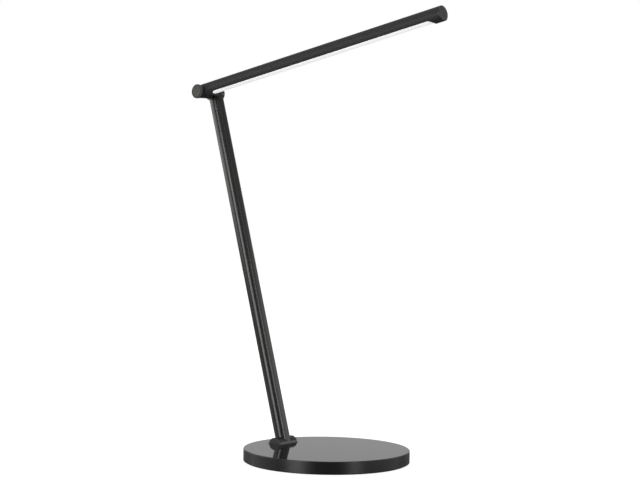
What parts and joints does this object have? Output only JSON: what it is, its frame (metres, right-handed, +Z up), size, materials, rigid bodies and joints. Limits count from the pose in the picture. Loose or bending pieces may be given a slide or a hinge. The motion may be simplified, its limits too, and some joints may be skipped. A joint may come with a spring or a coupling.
{
  "type": "desk lamp",
  "caption": "Slim desk lamp: round weighted base, leaning tube stem on a sunk barrel hinge, and a long tube head with a light slot, tilting on a side hinge with a push button.",
  "frame": {"origin": "on the floor, at the middle of the underside of the round base", "axes": "+Z up, +X the way the head points in plan, hinge axes along Y, the head on the -Y side of the stem"},
  "size_m": [0.3375, 0.18, 0.4763],
  "materials": {
    "gloss_black_lacquer": "gloss",
    "satin_bronze_black": "satin",
    "satin_black": "satin",
    "button_grey": "satin",
    "opal_plastic": "matte",
    "steel": "brushed",
    "aluminium": "satin",
    "brass": "satin",
    "rubber_pad": "matte",
    "black_plastic": "matte",
    "circuit_board": "satin",
    "light_chip": "satin"
  },
  "bodies": {
    "base": {"base_cover": "gloss_black_lacquer", "base_weight": "steel", "bottom_plate": "steel", "base_pad": "rubber_pad", "plate_screws": "steel", "hinge_bracket": "steel", "bracket_screws": "steel", "hinge_pin": "steel", "pin_friction_washers": "black_plastic", "pin_spring_washers": "steel", "pin_nut": "steel", "inlet_housing": "black_plastic", "inlet_pin": "brass", "driver_board": "circuit_board", "driver_parts": "black_plastic"},
    "stem": {"base_barrel": "satin_bronze_black", "barrel_near_plug": "satin_bronze_black", "barrel_far_cap": "satin_bronze_black", "hinge_bushes": "brass", "stem_tube": "satin_bronze_black", "stem_foot_plug": "aluminium", "stem_foot_nipple": "brass", "stem_top_plug": "aluminium", "stem_top_nipple": "brass", "stem_top_barrel": "satin_bronze_black", "top_far_cap": "satin_bronze_black", "hinge_shaft": "steel", "side_washer": "black_plastic", "inner_washer": "black_plastic", "shaft_spring_washers": "steel", "lock_nut": "steel"},
    "head": {"head_knuckle": "satin_black", "head_tube": "satin_black", "heat_bar": "aluminium", "light_strip": "circuit_board", "light_sources": "light_chip", "lens": "opal_plastic", "head_end_cap": "satin_black", "switch_board": "circuit_board", "switch_body": "black_plastic", "button_collar": "black_plastic"},
    "button": {"switch_button": "button_grey", "switch_plunger": "black_plastic"}
  },
  "joints": [
    {"name": "stem_tilt", "type": "hinge", "parent": "base", "child": "stem", "pos_m": [-0.0604, 0, 0.0124], "axis": [0, 1, 0], "range_deg": [-14.1, 45.9]},
    {"name": "head_tilt", "type": "hinge", "parent": "stem", "child": "head", "pos_m": [-0.17299, 0, 0.40768], "axis": [0, -1, 0], "range_deg": [-84, 90]},
    {"name": "switch_press", "type": "slide", "parent": "head", "child": "button", "axis": [0, 1, 0], "range_m": [0, 0.0007], "stiffness_N_per_m": 1500, "springref_m": -0.0003}
  ]
}
